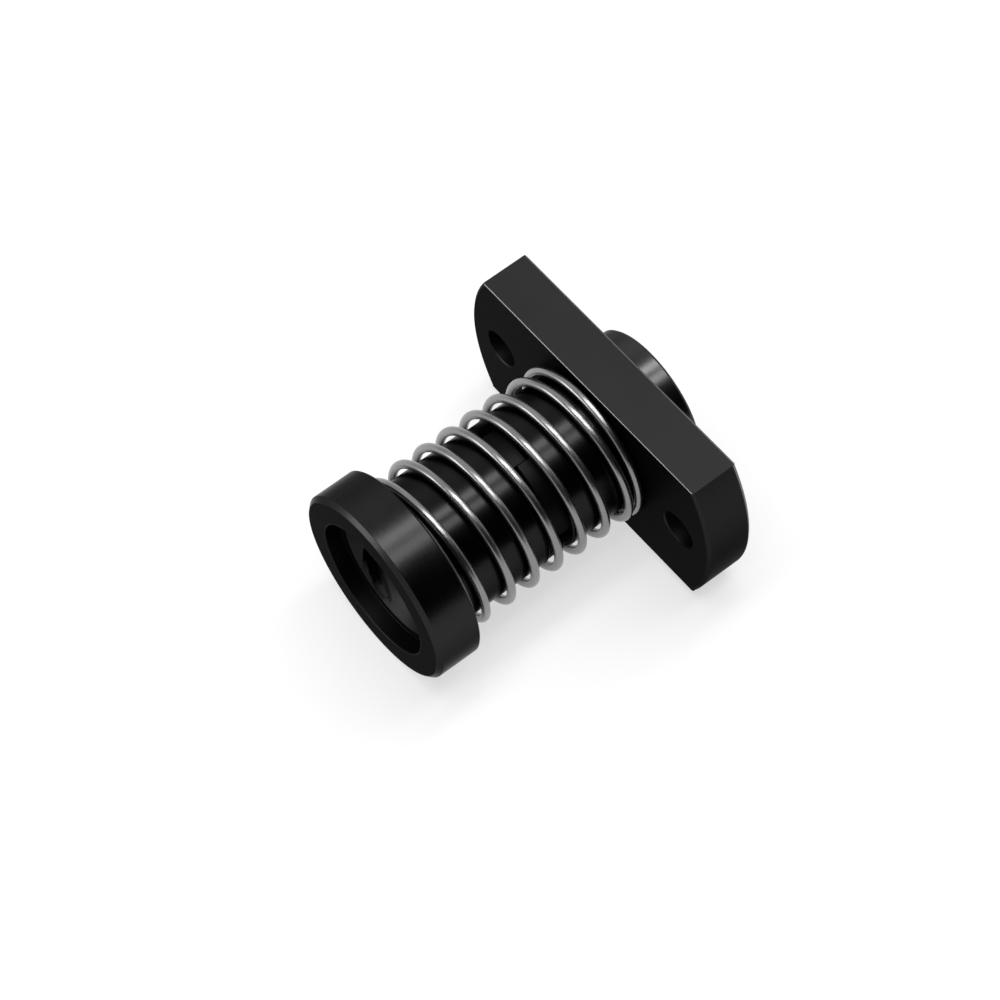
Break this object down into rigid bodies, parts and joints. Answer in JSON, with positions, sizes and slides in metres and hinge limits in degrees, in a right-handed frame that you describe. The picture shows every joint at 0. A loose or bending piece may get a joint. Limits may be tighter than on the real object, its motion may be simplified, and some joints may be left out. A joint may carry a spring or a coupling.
{
  "type": "lead screw nut",
  "caption": "Spring-preloaded anti-backlash lead screw nut: flanged nut with milled flats, round-collar counter nut keyed by claws, and a compression spring over both barrels.",
  "frame": {"origin": "on the screw axis, in the flange's mounting face", "axes": "+X along the screw axis from the collar towards the pilot, +Y along the line of the two bolt holes, +Z square to the milled flats"},
  "size_m": [0.0455, 0.048, 0.0274],
  "materials": {
    "blackened_steel": "satin black oxide",
    "spring_steel": "bright drawn wire"
  },
  "bodies": {
    "fixed": {"fixed_nut": "blackened_steel", "preload_spring": "spring_steel"},
    "preload": {"preload_nut": "blackened_steel"}
  },
  "joints": [
    {"name": "preload_take_up", "type": "slide", "parent": "fixed", "child": "preload", "axis": [1, 0, 0], "range_m": [0, 0.0011], "stiffness_N_per_m": 300, "springref_m": -0.0096, "deforming": ["preload_spring"]}
  ]
}
